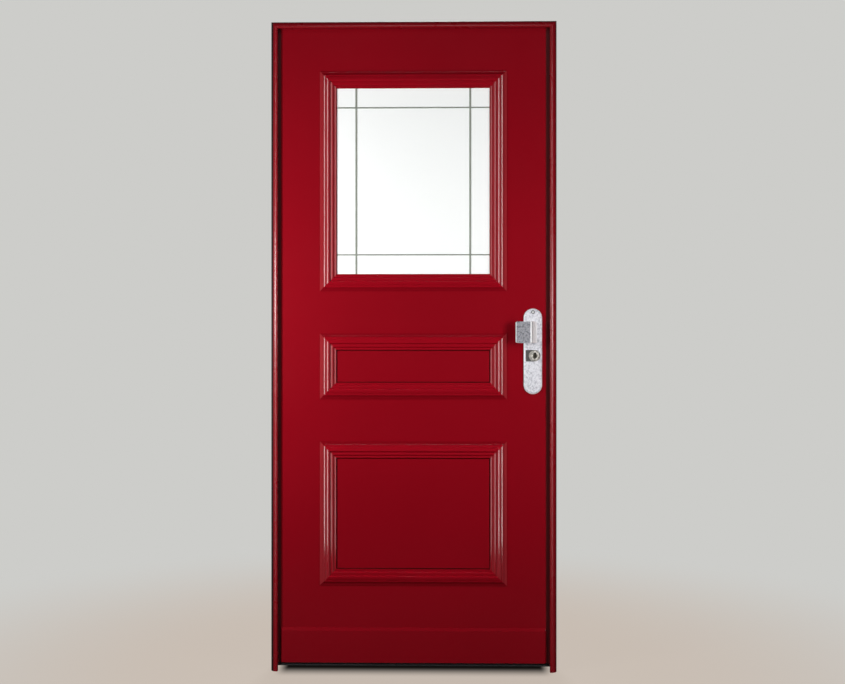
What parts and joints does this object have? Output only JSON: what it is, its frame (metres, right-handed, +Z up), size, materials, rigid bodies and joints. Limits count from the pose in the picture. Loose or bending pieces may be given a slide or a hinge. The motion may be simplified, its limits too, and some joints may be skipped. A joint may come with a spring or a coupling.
{
  "type": "security door",
  "caption": "Dark red steel security door set: hollow mitred frame, inward-opening leaf with white glazed window, moulded fields, kick plate, armoured lock plate and pull.",
  "frame": {"origin": "on the hinge jamb's flat wall face, at the foot of the jamb and half way through the frame's depth", "axes": "+X from the wall side of the hinge jamb to the lock side, +Y from outside to inside, +Z up"},
  "size_m": [0.945, 0.15, 2.15],
  "materials": {
    "frame_paint": "semi-gloss dark red paint",
    "leaf_paint": "semi-gloss dark red paint",
    "moulding_paint": "semi-gloss dark red paint",
    "lock_plate_metal": "mottled cast look, satin",
    "pull_metal": "mottled cast look, satin, darker",
    "cylinder_metal": "satin nickel over brass",
    "bolt_steel": "machined",
    "threshold_steel": "satin",
    "seal_rubber": "matt black",
    "opal_glass": "white opal glass",
    "bar_metal": "grey green anodised",
    "spacer_metal": "mill"
  },
  "bodies": {
    "frame": {"hinge_jamb": "frame_paint", "lock_jamb": "frame_paint", "head": "frame_paint", "threshold": "threshold_steel", "side_seals": "seal_rubber", "head_seal": "seal_rubber", "keep_plate": "bolt_steel", "frame_hinge_halves": "bolt_steel"},
    "leaf": {"leaf_hinge_halves": "bolt_steel", "hinge_stile": "leaf_paint", "lock_stile": "leaf_paint", "bottom_rail": "leaf_paint", "top_rail": "leaf_paint", "outer_panel": "leaf_paint", "inner_panel": "leaf_paint", "outer_glass": "opal_glass", "glass_spacer": "spacer_metal", "inner_glass": "opal_glass", "glazing_bars": "bar_metal", "window_moulding_sides": "moulding_paint", "window_moulding_rails": "moulding_paint", "middle_moulding_sides": "moulding_paint", "middle_moulding_rails": "moulding_paint", "lower_moulding_sides": "moulding_paint", "lower_moulding_rails": "moulding_paint", "window_bead_sides": "leaf_paint", "window_bead_rails": "leaf_paint", "kick_plate": "leaf_paint", "lock_plate": "lock_plate_metal", "cylinder_guard": "lock_plate_metal", "key_cylinder": "cylinder_metal", "pull_handle": "pull_metal", "inner_lock_plate": "lock_plate_metal", "inner_lever": "lock_plate_metal", "lock_faceplate": "bolt_steel", "lock_bolts": "bolt_steel", "dog_bolts": "bolt_steel"}
  },
  "joints": [
    {"name": "leaf_swing", "type": "hinge", "parent": "frame", "child": "leaf", "pos_m": [0.01225, 0.0505, 0], "axis": [0, 0, 1], "range_deg": [0, 105]}
  ]
}
